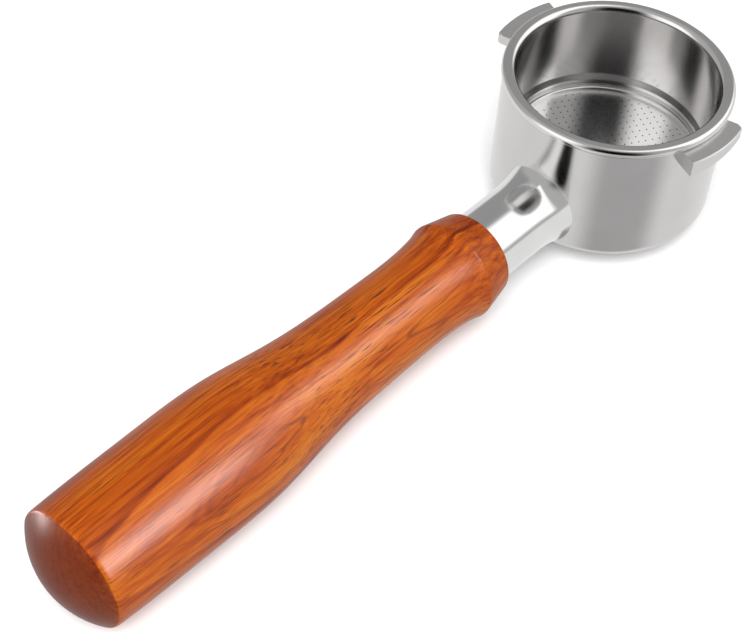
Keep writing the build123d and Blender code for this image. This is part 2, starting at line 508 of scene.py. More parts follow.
def row_depth(row):
    if row <= WALL_ROWS:
        return WALL_LENGTH * row / WALL_ROWS
    return WALL_LENGTH + (OUTER_LENGTH - WALL_LENGTH) * (row - WALL_ROWS) / ROUND_ROWS


def column_angle(column):
    return HANDLE_AZIMUTH + TAU * column / COLUMNS


def patch_border():
    """(angle, depth) round the rectangle of wall that the neck is set in."""
    last = WALL_ROWS + ROUND_ROWS
    cells = [(c, PATCH_TOP_ROW) for c in range(-PATCH_COLUMNS, PATCH_COLUMNS)]
    cells += [(PATCH_COLUMNS, r) for r in range(PATCH_TOP_ROW, last)]
    cells += [(c, last) for c in range(PATCH_COLUMNS, -PATCH_COLUMNS, -1)]
    cells += [(-PATCH_COLUMNS, r) for r in range(last, PATCH_TOP_ROW, -1)]
    return [(column_angle(c), row_depth(r)) for c, r in cells]


def seen_from_neck(angle, depth):
    """Direction of a wall point from the neck's axis, on the unrolled wall."""
    middle = WALL_TOP_Z - AXIS_Z
    return math.atan2(BODY_R * (angle - HANDLE_AZIMUTH), middle - depth)


def border_swings(border):
    """For each border point, the swing round the neck that lies in the same direction."""
    table = []
    for k in range(NECK_DIRECTIONS + 1):
        swing = -math.pi + TAU * k / NECK_DIRECTIONS
        table.append((seen_from_neck(*flare_foot(swing)), swing))
    table.sort()
    swings = []
    for angle, depth in border:
        want = seen_from_neck(angle, depth)
        swings.append(min(table, key=lambda entry: abs(entry[0] - want))[1])
    return swings


def build_wall(shell):
    rows = WALL_ROWS + ROUND_ROWS
    for column in range(-COLUMNS // 2, COLUMNS // 2):
        for row in range(rows):
            if -PATCH_COLUMNS <= column < PATCH_COLUMNS and row >= PATCH_TOP_ROW:
                continue
            a0 = column_angle(column)
            a1 = column_angle(column + 1 if column < COLUMNS // 2 - 1 else -COLUMNS // 2)
            shell.face(
                [
                    outer_surface(a0, row_depth(row)),
                    outer_surface(a1, row_depth(row)),
                    outer_surface(a1, row_depth(row + 1)),
                    outer_surface(a0, row_depth(row + 1)),
                ]
            )


def build_neck(shell):
    border = patch_border()
    swings = border_swings(border)
    count = len(border)
    rings = []
    # Wall, from the rectangle in to the flare's foot.
    for k in range(PATCH_RINGS + 1):
        ring = []
        for (angle, depth), swing in zip(border, swings):
            foot_angle, foot_depth = flare_foot(swing)
            t = k / PATCH_RINGS
            ring_angle = angle + (foot_angle - angle) * t
            ring.append(outer_surface(ring_angle, depth + (foot_depth - depth) * t))
        rings.append(ring)
    # Flare, from the wall out to the neck.
    for k in range(FLARE_STEPS + 1):
        along = (k / FLARE_STEPS) ** FLARE_CROWDING
        rings.append([flare(swing, along) for swing in swings])
    # Neck, out to the chamfer at its end.
    flare_end = rings[-1]
    for k in range(1, NECK_STEPS + 1):
        ring = []
        for place, normal in flare_end:
            far = Vector((place.x, -(NECK_END - NECK_EDGE), place.z))
            ring.append((place.lerp(far, k / NECK_STEPS), normal))
        rings.append(ring)
    for number, (outer, inner) in enumerate(zip(rings, rings[1:])):
        finish = WALL_FINISH if number < PATCH_RINGS else NECK_FINISH
        for i in range(count):
            j = (i + 1) % count
            shell.face([outer[i], outer[j], inner[j], inner[i]], finish)
    # End face and the blind threaded hole.
    end = outline(
        [
            (NECK_END - NECK_EDGE, NECK_R),
            (NECK_END, NECK_R - NECK_EDGE),
            (NECK_END, THREAD_HOLE_R + STUD_CHAMFER),
            (NECK_END - STUD_CHAMFER, THREAD_HOLE_R),
            (THREAD_HOLE_END, THREAD_HOLE_R),
            (THREAD_HOLE_END, 0),
        ],
        [0] * 6,
    )
    for p, n, q, m in end:
        for i in range(count):
            a = swings[i]
            b = swings[(i + 1) % count]
            quad = [round_handle(p, n, a), round_handle(p, n, b)]
            quad += [round_handle(q, m, b), round_handle(q, m, a)]
            shell.face(quad, NECK_FINISH)


def build_ring_inside(shell):
    """Underside, outlet, lip, bore with the spring's groove, and top."""
    groove = []
    past_half = math.asin((SPRING_R - BORE_R) / GROOVE_R)
    for k in range(GROOVE_STEPS + 1):
        swing = (math.pi / 2 + past_half) * (2 * k / GROOVE_STEPS - 1)
        normal = Vector((-math.cos(swing), -math.sin(swing)))
        groove.append((Vector((SPRING_R, SPRING_Z)) - normal * GROOVE_R, normal))
    inside = outline(
        [
            (BODY_R - BOTTOM_ROUND, BOTTOM_Z),
            (OUTLET_R, BOTTOM_Z),
            (OUTLET_R, LIP_Z),
            (BORE_R, LIP_Z),
            tuple(groove[0][0]),
        ],
        [0, OUTLET_ROUND, OUTLET_ROUND, 0, 0],
    )
    inside += [(a, na, b, nb) for (a, na), (b, nb) in zip(groove, groove[1:])]
    inside += outline(
        [
            tuple(groove[-1][0]),
            (BORE_R, TOP_Z),
            (BODY_R - TOP_EDGE, TOP_Z),
            (BODY_R, WALL_TOP_Z),
        ],
        [0, 0, 0, 0],
    )
    shell.lathe(inside, round_cup, start=HANDLE_AZIMUTH)


def lug_outline():
    """Seen from above: points and normals of a lug's outer edge, and points of its foot in the ring."""
    end = LUG_SPAN / 2
    corner_from_axis = LUG_R - LUG_LEAD
    corner_at = end - math.asin(LUG_LEAD / corner_from_axis)
    corner = Vector((corner_from_axis * math.cos(corner_at), corner_from_axis * math.sin(corner_at)))
    edge = []
    for k in range(LUG_STEPS + 1):
        a = -end + (end + corner_at) * k / LUG_STEPS
        out = direction(a)
        edge.append((out * LUG_R, out))
    for k in range(1, LUG_LEAD_STEPS + 1):
        a = corner_at + (end + math.pi / 2 - corner_at) * k / LUG_LEAD_STEPS
        out = direction(a)
        edge.append((corner + out * LUG_LEAD, out))
    root = BODY_R - TOP_EDGE
    foot = []
    for k in range(LUG_STEPS + 1):
        a = end * (1 - 2 * k / LUG_STEPS)
        foot.append(Vector((root * math.cos(a), root * math.sin(a))))
    return edge, foot


def build_lug(shell, turn):
    edge, foot = lug_outline()
    up = Vector((0, 0, 1))
    spin = Matrix.Rotation(turn, 3, "Z")
    under = spin @ Vector((0, math.sin(LUG_RAMP), -math.cos(LUG_RAMP)))
    side_z = TOP_Z - LUG_EDGE
    outer = [p for p, _ in edge]
    top_edge = [p - out * LUG_EDGE for p, out in edge[:-1]] + [outer[-1]]

    def at(flat, z):
        return spin @ Vector((flat.x, flat.y, z))

    def ramp_z(flat):
        return TOP_Z - LUG_THICKNESS + math.tan(LUG_RAMP) * flat.y

    shell.face([(at(p, TOP_Z), up) for p in foot + top_edge], LUG_FINISH)
    shell.face([(at(p, ramp_z(p)), under) for p in foot + outer], LUG_FINISH)
    for k, ((a, out_a), (b, out_b)) in enumerate(zip(edge, edge[1:])):
        na = spin @ out_a.to_3d()
        nb = spin @ out_b.to_3d()
        ta = top_edge[k]
        tb = top_edge[k + 1]
        side = [(at(a, side_z), na), (at(b, side_z), nb), (at(b, ramp_z(b)), nb), (at(a, ramp_z(a)), na)]
        shell.face(side, LUG_FINISH)
        edge_break = [(at(ta, TOP_Z), na + up), (at(tb, TOP_Z), nb + up), (at(b, side_z), nb + up)]
        shell.face(edge_break + [(at(a, side_z), na + up)], LUG_FINISH)
    ends = ((-1, outer[0], foot[-1], top_edge[0]), (1, outer[-1], foot[0], top_edge[-1]))
    for sign, rim, inner, top in ends:
        end = sign * LUG_SPAN / 2
        flat_normal = spin @ Vector((-sign * math.sin(end), sign * math.cos(end), 0))
        corners = [at(top, TOP_Z), at(rim, side_z), at(rim, ramp_z(rim)), at(inner, ramp_z(inner))]
        shell.face([(p, flat_normal) for p in corners + [at(inner, TOP_Z)]], LUG_FINISH)
    for a, b in zip(foot, foot[1:]):
        inward = spin @ -(a + b).to_3d().normalized()
        corners = ((a, TOP_Z), (b, TOP_Z), (b, ramp_z(b)), (a, ramp_z(a)))
        shell.face([(at(flat, z), inward) for flat, z in corners])


def build_lugs(shell):
    """Two lugs alike, on opposite sides."""
    for side in (0, math.pi):
        build_lug(shell, side + LUG_TURN)


# ---- filter basket
SIDE_FINISH = 0
# Slot of the floor: its own turning marks, and a tone paler than the wall's that is painted light.
FLOOR_FINISH_AND_PAINTED_LIGHT = 1
RIM_FINISH = 2
# Slot of the holes' walls: a dark steel, painted shade standing in for the shade inside the holes.
HOLE_PAINTED_SHADE = 3
FLOOR_MARGIN = 0.05         # how far a segment has to lie below the ledge to get the floor's finish
RIM_MARGIN = 0.01           # and how far it may miss the rim and still get the rim's


def hole_centres():
    """Square grid of perforations, cut to a round field."""
    count = math.ceil(HOLE_FIELD_R / HOLE_PITCH)
    c = math.cos(HOLE_GRID_TURN)
    s = math.sin(HOLE_GRID_TURN)
    spots = []
    for i in range(-count, count + 1):
        for j in range(-count, count + 1):
            x = i * HOLE_PITCH
            y = j * HOLE_PITCH
            if math.hypot(x, y) < HOLE_FIELD_R:
                spots.append(Vector((x * c - y * s, x * s + y * c)))
    return spots


def build_floor(shell):
    """Perforated disc: one triangulation used for its top and its underside, and the holes' walls."""
    disc_edge = Vector((DISC_R, FLOOR_Z))
    points = [round_cup(disc_edge, disc_edge, TAU * k / COLUMNS)[0].to_2d() for k in range(COLUMNS)]
    loops = [list(range(COLUMNS))]
    for centre in hole_centres():
        first = len(points)
        for k in range(HOLE_SIDES):
            a = TAU * k / HOLE_SIDES
            points.append(centre + HOLE_R * direction(a))
        loops.append(list(range(first, first + HOLE_SIDES)))
    edges = [(loop[k], loop[(k + 1) % len(loop)]) for loop in loops for k in range(len(loop))]
    flat, _, faces, sources, _, _ = delaunay_2d_cdt(points, edges, [], 0, 1e-6)
    up = Vector((0, 0, 1))
    for face in faces:
        # 0 stands for the disc's edge, 1 and up for the holes. A face all of one hole lies in it.
        owners = {max(0, sources[i][0] - COLUMNS + HOLE_SIDES) // HOLE_SIDES for i in face}
        if len(owners) == 1 and owners != {0}:
            continue
        for z, normal in ((FLOOR_Z, up), (FLOOR_Z - SHEET, -up)):
            shell.face([(Vector((*flat[i], z)), normal) for i in face], FLOOR_FINISH_AND_PAINTED_LIGHT)
    # The holes' walls get the dark steel: painted shade for the inside of the holes.
    for centre in hole_centres():
        for k in range(HOLE_SIDES):
            a0 = TAU * k / HOLE_SIDES
            a1 = TAU * ((k + 1) % HOLE_SIDES) / HOLE_SIDES
            n0 = direction(a0).to_3d()
            n1 = direction(a1).to_3d()
            c = centre.to_3d()
            top = Vector((0, 0, FLOOR_Z))
            low = Vector((0, 0, FLOOR_Z - SHEET))
            wall = [(c + n0 * HOLE_R + top, -n0), (c + n1 * HOLE_R + top, -n1)]
            wall += [(c + n1 * HOLE_R + low, -n1), (c + n0 * HOLE_R + low, -n0)]
            shell.face(wall, HOLE_PAINTED_SHADE)


def build_basket(shell):
    """The pressed sheet around the perforated disc: inside, over the rim, and back down outside."""
    wall_outer = BASKET_R + SHEET
    under = FLOOR_Z - SHEET
    section = [
        # radius, height, round at this corner
        (DISC_R, FLOOR_Z, 0),
        (FLOOR_R, FLOOR_Z, 0.1),
        (LEDGE_R, LEDGE_Z, 0.12),
        (BASKET_R - STEP_IN, LEDGE_Z, 0.12),
        (BASKET_R - STEP_IN, STEP_BOTTOM, 0.7),
        (BASKET_R, STEP_TOP, 0.7),
        (BASKET_R, 0, 1.6),
        (RIM_R, 0, 1.2),
        (RIM_R, -RIM_HEIGHT, 0.7),
        (RIM_R - CURL, -RIM_HEIGHT, 0.15),
        (RIM_R - CURL, -RIM_HEIGHT + SHEET, 0.15),
        (RIM_R - SHEET, -RIM_HEIGHT + SHEET, 0.25),
        (RIM_R - SHEET, -SHEET, 0.6),
        (wall_outer, -SHEET, 1.0),
        (wall_outer, STEP_TOP, 0.7),
        (wall_outer - STEP_IN, STEP_BOTTOM, 0.7),
        (wall_outer - STEP_IN, under, 1.0),
        (DISC_R, under, 0),
    ]
    corners = [(radius, height) for radius, height, _ in section]
    rounds = [bend for _, _, bend in section]
    for p, n, q, m in split_long(outline(corners, rounds, steps=10), BASKET_SEGMENT):
        finish = SIDE_FINISH
        if max(p.y, q.y) < LEDGE_Z - FLOOR_MARGIN:
            finish = FLOOR_FINISH_AND_PAINTED_LIGHT
        if min(p.y, q.y) > -RIM_HEIGHT - RIM_MARGIN and max(p.x, q.x) > BASKET_R + RIM_MARGIN:
            finish = RIM_FINISH
        shell.lathe([(p, n, q, m)], round_cup, finish=finish)


# ---- handle and its fixing
def smooth_curve(points, start_slope, end_slope, per_span):
    """Cubic spline through points of rising x: (point, slope) samples."""
    count = len(points)
    x = [p[0] for p in points]
    y = [p[1] for p in points]
    run = [b - a for a, b in zip(x, x[1:])]
    rise = [(y[i + 1] - y[i]) / run[i] for i in range(count - 1)]
    system = np.zeros((count, count))
    wanted = np.zeros(count)
    system[0, 0] = system[-1, -1] = 1
    wanted[0] = start_slope
    wanted[-1] = end_slope
    for i in range(1, count - 1):
        system[i, i - 1 : i + 2] = run[i], 2 * (run[i - 1] + run[i]), run[i - 1]
        wanted[i] = 3 * (run[i] * rise[i - 1] + run[i - 1] * rise[i])
    slope = [float(m) for m in np.linalg.solve(system, wanted)]
    samples = []
    for i in range(count - 1):
        for k in range(per_span + (i == count - 2)):
            t = k / per_span
            height = y[i] * (2 * t**3 - 3 * t**2 + 1) + y[i + 1] * (3 * t**2 - 2 * t**3)
            height += run[i] * (slope[i] * (t**3 - 2 * t**2 + t) + slope[i + 1] * (t**3 - t**2))
            steep = 6 * (t - t**2) * rise[i]
            steep += slope[i] * (3 * t**2 - 4 * t + 1) + slope[i + 1] * (3 * t**2 - 2 * t)
            samples.append((Vector((x[i] + t * run[i], height)), steep))
    return samples


def handle_outline():
    """The wood's section: outside from front to butt, over the dome, and the bore."""
    front = NECK_END
    samples = smooth_curve(GRIP, GRIP_START_SLOPE, GRIP_END_SLOPE, GRIP_STEPS)
    shift = Vector((front, 0))
    top = Vector((front + CREST_AT, CREST_R))
    beyond = top + Vector((1, GRIP_START_SLOPE))
    crest = corner_arc(Vector((front, FRONT_R)), top, beyond, CREST_ROUND, CREST_STEPS)
    crest_end = crest[-1][0].x
    grip = []
    for place, slope in samples:
        if place.x + front > crest_end + CREST_GAP:
            grip.append((place + shift, Vector((-slope, 1)).normalized()))
    # Domed butt: an arc from the rounded edge to the axis.
    dome_r = (BUTT_R**2 + DOME_HEIGHT**2) / (2 * DOME_HEIGHT)
    centre = Vector((front + HANDLE_LENGTH + DOME_HEIGHT - dome_r, 0))
    edge_angle = math.asin((BUTT_R - BUTT_EDGE_IN) / dome_r)
    dome = []
    for k in range(DOME_STEPS + 1):
        a = edge_angle * (1 - k / DOME_STEPS)
        normal = direction(a)
        dome.append((centre + normal * dome_r, normal))
    while grip[-1][0].x > front + HANDLE_LENGTH - BUTT_EDGE_ALONG:
        grip.pop()
    # Rounded corner between the grip and the dome: a parabola that is tangent to both.
    edge = []
    start = grip[-1][0]
    end = dome[0][0]
    corner = Vector((front + HANDLE_LENGTH, BUTT_R))
    for k in range(1, BUTT_EDGE_STEPS):
        t = k / BUTT_EDGE_STEPS
        place = start * (1 - t) ** 2 + corner * 2 * t * (1 - t) + end * t**2
        along = (corner - start) * (1 - t) + (end - corner) * t
        edge.append((place, Vector((-along.y, along.x)).normalized()))
    outside = crest + grip + edge + dome
    segments = outline(
        [
            (front + WASHER_THICKNESS, RECESS_R),
            (front, RECESS_R),
            (front, FRONT_R),
            tuple(crest[0][0]),
        ],
        [0, 0, FRONT_EDGE, 0],
    )
    segments += [(a, na, b, nb) for (a, na), (b, nb) in zip(outside, outside[1:])]
    inside = outline(
        [
            (front + WOOD_BORE, 0),
            (front + WOOD_BORE, INSERT_R + PLAY),
            (front + FLANGE_BACK, INSERT_R + PLAY),
            (front + FLANGE_BACK, RECESS_R),
            (front + WASHER_THICKNESS, RECESS_R),
        ],
        [0] * 5,
    )
    return split_long(segments, GRIP_SEGMENT) + inside


def build_wood(shell):
    shell.lathe(handle_outline(), round_handle)


def thread_radius(distance, angle):
    """Radius of a right-hand thread at a distance along the rod and an angle round it."""
    phase = ((distance + angle / TAU * THREAD_PITCH) / THREAD_PITCH) % 1.0
    ridge = abs(phase - 0.5) * 2
    flank = min(1.0, max(0.0, (ridge - THREAD_ROOT) / THREAD_FLANK))
    return STUD_R - THREAD_DEPTH * (1 - flank)


def build_stud(shell):
    """Threaded rod with chamfered ends, shaded flat so that the turns stay crisp."""
    start = -stud_high.y
    length = -stud_low.y - start
    rows = round(length / THREAD_PITCH * THREAD_ROWS)
    sides = 48

    def at(row, side):
        distance = start + length * row / rows
        a = TAU * side / sides
        ends = min(distance - start, start + length - distance)
        radius = min(thread_radius(distance, a), STUD_R - STUD_CHAMFER + ends)
        return Vector((radius * math.sin(a), -distance, AXIS_Z + radius * math.cos(a)))

    for row in range(rows):
        for side in range(sides):
            beside = (side + 1) % sides
            quad = [at(row, side), at(row, beside), at(row + 1, beside), at(row + 1, side)]
            normal = (quad[2] - quad[0]).cross(quad[3] - quad[1]).normalized()
            middle = sum(quad, Vector()) / 4
            if normal.dot(middle - Vector((0, middle.y, AXIS_Z))) < 0:
                normal = -normal
            shell.face([(p, normal) for p in quad])
    for row, way in ((0, 1), (rows, -1)):
        shell.face([(at(row, side), Vector((0, way, 0))) for side in range(sides)])


def build_insert(shell):
    front = NECK_END + WASHER_THICKNESS
    back = -insert_low.y
    section = outline(
        [
            (front, THREAD_HOLE_R),
            (front, INSERT_FLANGE_R),
            (front + INSERT_FLANGE, INSERT_FLANGE_R),
            (front + INSERT_FLANGE, INSERT_R),
            (back, INSERT_R),
            (back, THREAD_HOLE_R),
        ],
        [0.3, 0.3, 0.1, 0, 0.3, 0.3],
        closed=True,
    )
    shell.lathe(split_long(section, INSERT_SEGMENT), round_handle, columns=FIXING_COLUMNS)


def build_washer(shell):
    section = outline(
        [
            (NECK_END, WASHER_HOLE_R),
            (NECK_END, WASHER_R),
            (NECK_END + WASHER_THICKNESS, WASHER_R),
            (NECK_END + WASHER_THICKNESS, WASHER_HOLE_R),
        ],
        [WASHER_EDGE] * 4,
        closed=True,
    )
    shell.lathe(section, round_handle, columns=FIXING_COLUMNS)


def build_spring(shell):
    """Round wire bent to an open ring, with its ends rounded over."""
    sides = 20
    first = SPRING_GAP / 2 + WIRE_R / SPRING_R
    last = TAU - first
    tips = SPRING_TIP_STEPS
    stations = [(first, -math.pi / 2 * k / tips) for k in range(tips, 0, -1)]
    stations += [(first + (last - first) * k / SPRING_STEPS, 0.0) for k in range(SPRING_STEPS + 1)]
    stations += [(last, math.pi / 2 * k / tips) for k in range(1, tips + 1)]
    rings = []
    for angle, tip in stations:
        out = direction(angle).to_3d()
        along = Vector((-math.sin(angle), math.cos(angle), 0))
        centre = out * SPRING_R + Vector((0, 0, SPRING_Z))
        ring = []
        for side in range(sides):
            b = TAU * side / sides
            across = out * math.cos(b) + Vector((0, 0, math.sin(b)))
            normal = across * math.cos(tip) + along * math.sin(tip)
            ring.append((centre + normal * WIRE_R, normal))
        rings.append(ring)
    for near, far in zip(rings, rings[1:]):
        for side in range(sides):
            other = (side + 1) % sides
            shell.face([near[side], near[other], far[other], far[side]])


# ---- steel, brass and wood
def new_material(name):
    return Nodes(bpy.data.materials.new(name))


def turned_coordinate(n, along_marks, across_marks):
    """Coordinates stretched along marks that run round the cup's axis, on walls and flats alike."""
    place = n.add("ShaderNodeTexCoord").outputs["Object"]
    x = n.part(place, "X")
    y = n.part(place, "Y")
    z = n.part(place, "Z")
    radius = n.math("SQRT", n.math("ADD", n.math("MULTIPLY", x, x), n.math("MULTIPLY", y, y)))
    across = n.math("ADD", radius, z)
    joined = n.add("ShaderNodeCombineXYZ")
    n.link(n.math("MULTIPLY", x, along_marks), joined.inputs[0])
    n.link(n.math("MULTIPLY", y, along_marks), joined.inputs[1])
    n.link(n.math("MULTIPLY", across, across_marks), joined.inputs[2])
    return joined.outputs[0]


SMUDGE = 0.04            # how much rougher the steel's cloudy patches are


def steel(name, tone, roughness, stretch=0.0, mark=0.0, mark_pitch=0.25, turned=True):
    """Stainless steel. stretch spreads reflections across the turning marks, mark is their depth."""
    n = new_material(name)
    n.set(Metallic=1.0, Anisotropic=stretch)
    if turned:
        lines = n.noise(turned_coordinate(n, 120.0, 1000.0 / mark_pitch), 1.0, detail=3.0, roughness=0.6)
        tangent = n.add("ShaderNodeTangent", direction_type="RADIAL", axis="Z")
        n.link(tangent.outputs[0], n.shader.inputs["Tangent"])
        n.set(Anisotropic_Rotation=0.25)
    else:
        lines = n.noise(n.coordinates(scale=(1000, 1000, 1000)), 1.5, detail=3.0, roughness=0.7)
    cloud = n.noise(n.coordinates(scale=(60, 60, 60)), 1.0, detail=4.0, roughness=0.6, distortion=0.4)
    dark = tuple(c * 0.93 for c in tone)
    n.link(n.mix(n.remap(cloud, 0.3, 0.7, 0.0, 1.0), dark, tone), n.shader.inputs["Base Color"])
    spread = n.math("MULTIPLY_ADD", lines, roughness * 0.25, roughness * 0.86)
    n.link(n.math("MULTIPLY_ADD", cloud, SMUDGE, spread), n.shader.inputs["Roughness"])
    n.link(n.bump(lines, mark * MM), n.shader.inputs["Normal"])
    return n.owner


def brass(name):
    n = new_material(name)
    n.set(Metallic=1.0)
    lines = n.noise(n.coordinates(scale=(300, 6000, 300)), 1.0, detail=2.0)
    cloud = n.noise(n.coordinates(scale=(200, 200, 200)), 1.0, detail=4.0)
    n.link(n.mix(cloud, (0.55, 0.36, 0.11), (0.80, 0.58, 0.24)), n.shader.inputs["Base Color"])
    n.link(n.remap(cloud, 0.2, 0.8, 0.18, 0.34), n.shader.inputs["Roughness"])
    n.link(n.bump(lines, 0.002 * MM), n.shader.inputs["Normal"])
    return n.owner


GRAIN_NORMAL = Vector((0.848, 0.06, 0.53))      # across the layers of the wood
FIGURE_SHIFT = 4.4       # millimetres along that, choosing which layers reach the surface


def rosewood(name):
    """Lacquered reddish wood: layers cut by the turned surface, streaks and pores along the handle."""
    n = new_material(name)
    n.set(Roughness=0.6, Specular_IOR_Level=0.0, Coat_Weight=1.0, Coat_Roughness=0.36, Coat_IOR=1.22)
    place = n.add("ShaderNodeTexCoord").outputs["Object"]
    depth = n.add("ShaderNodeVectorMath", operation="DOT_PRODUCT")
    n.link(place, depth.inputs[0])
    depth.inputs[1].default_value = GRAIN_NORMAL / MM
    wander = n.noise(n.coordinates(scale=(26, 11, 26), location=(1.1, 0.6, 0.7)), 1.0, detail=2.0)
    ripple = n.noise(n.coordinates(scale=(140, 26, 140)), 1.0, detail=3.0, roughness=0.6)
    bent = n.math("MULTIPLY_ADD", wander, 9.0, depth.outputs["Value"])
    bent = n.math("MULTIPLY_ADD", ripple, 2.2, bent)
    bent = n.math("ADD", bent, FIGURE_SHIFT)

    def layers(scale, detail):
        node = n.add("ShaderNodeTexNoise", noise_dimensions="1D")
        node.inputs["Scale"].default_value = scale
        node.inputs["Detail"].default_value = detail
        node.inputs["Roughness"].default_value = 0.6
        n.link(bent, node.inputs["W"])
        return node.outputs["Fac"]

    streak = n.noise(n.coordinates(scale=(1300, 24, 1300)), 1.0, detail=4.0, roughness=0.6)
    patch_place = n.coordinates(scale=(50, 14, 50), location=(4.0, 0.0, 2.0))
    patch = n.noise(patch_place, 1.0, detail=4.0, roughness=0.6)
    tone = n.math("MULTIPLY_ADD", streak, 0.30, n.math("MULTIPLY", layers(0.5, 3.0), 0.32))
    tone = n.math("MULTIPLY_ADD", patch, 0.38, tone)
    color = n.ramp(
        tone,
        [
            (0.38, (0.118, 0.013, 0.001)),
            (0.45, (0.250, 0.038, 0.002)),
            (0.52, (0.370, 0.075, 0.003)),
            (0.61, (0.445, 0.128, 0.008)),
        ],
    )
    # Dark lines where some layers meet.
    edge_of_layer = n.math("ABSOLUTE", n.math("SUBTRACT", layers(0.42, 1.5), 0.5))
    line = n.remap(edge_of_layer, 0.0, 0.028, 1.0, 0.0, smooth=True)
    line = n.math("MULTIPLY", line, n.remap(patch, 0.42, 0.56, 0.0, 1.0, smooth=True))
    color = n.mix(n.math("MULTIPLY", line, 0.7), color, (0.15, 0.024, 0.008))
    # Pores, drawn out along the handle and denser in places.
    pores = n.noise(n.coordinates(scale=(2600, 110, 2600)), 1.0, detail=2.0, roughness=0.5)
    pore = n.remap(pores, 0.55, 0.66, 0.0, 1.0)
    where = n.remap(n.noise(n.coordinates(scale=(110, 24, 110)), 1.0, detail=3.0), 0.40, 0.62, 0.15, 1.0)
    pore = n.math("MULTIPLY", pore, where)
    color = n.mix(n.math("MULTIPLY", pore, 0.85), color, (0.055, 0.012, 0.006))
    # End grain, where the surface faces along the handle.
    facing = n.part(n.add("ShaderNodeTexCoord").outputs["Normal"], "Y")
    end_grain = n.remap(n.math("ABSOLUTE", facing), 0.55, 0.85, 0.0, 0.85, smooth=True)
    color = n.mix(end_grain, color, (0.075, 0.009, 0.002))
    n.link(color, n.shader.inputs["Base Color"])
    n.link(n.remap(streak, 0.3, 0.7, 0.5, 0.65), n.shader.inputs["Roughness"])
    height = n.math("MULTIPLY_ADD", pore, -0.4, n.math("MULTIPLY", streak, 0.3))
    n.link(n.bump(height, 0.03 * MM, 0.6), n.shader.inputs["Normal"])
    return n.owner


# ---- the pieces
# The holes' walls are the floor's own steel, painted dark: painted shade inside the punched holes.
hole_wall_painted_shade = steel("steel_hole_walls_painted_shade", (0.16, 0.155, 0.15), 0.45, turned=False, mark=0.0005)
holder_wall = steel("steel_holder_wall", (0.68, 0.665, 0.66), 0.13, stretch=0.5, mark=0.0004)
holder_neck = steel("steel_holder_neck", (0.80, 0.795, 0.79), 0.085, turned=False, mark=0.0002)
holder_lugs = steel("steel_holder_lugs", (0.72, 0.71, 0.70), 0.34, turned=False, mark=0.002)
basket_wall = steel("steel_basket_wall", (0.64, 0.63, 0.625), 0.14, stretch=0.6, mark=0.0006)
# The floor's tone, far paler than the wall's steel, is painted light: it brightens the floor's
# reflections. Its finer, deeper turning marks are real.
basket_floor_painted_light = steel(
    "steel_basket_floor_painted_light", (0.95, 0.94, 0.935), 0.17, stretch=0.6, mark=0.001, mark_pitch=0.15
)
basket_rim = steel("steel_basket_rim", (0.76, 0.75, 0.74), 0.16, stretch=0.4, mark=0.0002)
spring_steel = steel("steel_spring_wire", (0.55, 0.55, 0.55), 0.16, turned=False, mark=0.0005)
stud_steel = steel("steel_stud", (0.50, 0.50, 0.49), 0.28, turned=False, mark=0.002)
insert_brass = brass("brass_insert")
handle_wood = rosewood("rosewood_lacquered")

holder_parts = (build_wall, build_neck, build_ring_inside, build_lugs)
basket_parts = (build_basket, build_floor)
holder_steels = (holder_wall, holder_neck, holder_lugs)
basket_steels = (basket_wall, basket_floor_painted_light, basket_rim, hole_wall_painted_shade)
for name, node, body, slot, materials, builders in (
    ("holder", "holder_body", "holder", "holder_steel", holder_steels, holder_parts),
    ("basket", "filter_basket", "basket", "basket_steel", basket_steels, basket_parts),
    ("spring_ring", "basket_spring", "spring", "spring_steel", (spring_steel,), (build_spring,)),
    ("threaded_stud", "handle_stud", "holder", "stud_steel", (stud_steel,), (build_stud,)),
    ("threaded_insert", "handle_insert", "handle", "insert_brass", (insert_brass,), (build_insert,)),
    ("washer", "handle_washer", "washer", "spring_steel", (spring_steel,), (build_washer,)),
    ("wood_grip", "wooden_handle", "handle", "handle_wood", (handle_wood,), (build_wood,)),
):
    shell = Shell()
    for build in builders:
        build(shell)
    piece = shell.build(name, *materials)
    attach(piece, body)
    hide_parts(node)
grip = bpy.data.objects["wood_grip"]
grip.visible_glossy = False         # the steel doesn't reflect it


# ---- studio: pale floor, soft light from above, and what the steel reflects
FLOOR_SIZE = 30.0

floor_z = cad_box[0].z
floor_mesh = bpy.data.meshes.new("floor")
half = FLOOR_SIZE / 2
floor_mesh.from_pydata(
    [(-half, -half, floor_z), (half, -half, floor_z), (half, half, floor_z), (-half, half, floor_z)],
    [],
    [(0, 1, 2, 3)],
)
floor = bpy.data.objects.new("floor", floor_mesh)
bpy.context.scene.collection.objects.link(floor)
floor.visible_glossy = False        # the steel reflects the world's table in its place

paper = new_material("floor_paper")
paper.set(Roughness=0.9, Specular_IOR_Level=0.0)
fibre = paper.noise(paper.coordinates(scale=(900, 900, 900)), 1.0, detail=3.0)
paper.link(paper.mix(fibre, (0.88, 0.88, 0.88), (0.90, 0.90, 0.90)), paper.shader.inputs["Base Color"])
floor_mesh.materials.append(paper.owner)


def soft_box(name, place, aim, width, height, power, in_reflections, only=None):
    """Area light, either for diffuse light or for reflections. With only, it lights one piece."""
    light = bpy.data.lights.new(name, "AREA")
    light.shape = "RECTANGLE"
    light.size = width
    light.size_y = height
    light.energy = power
    lamp = bpy.data.objects.new(name, light)
    lamp.location = place
    lamp.rotation_euler = (Vector(aim) - Vector(place)).to_track_quat("-Z", "Y").to_euler()
    lamp.visible_glossy = in_reflections
    lamp.visible_diffuse = not in_reflections
    if only:
        lit = bpy.data.collections.new(name)
        lit.objects.link(only)
        lamp.light_linking.receiver_collection = lit
    bpy.context.scene.collection.objects.link(lamp)


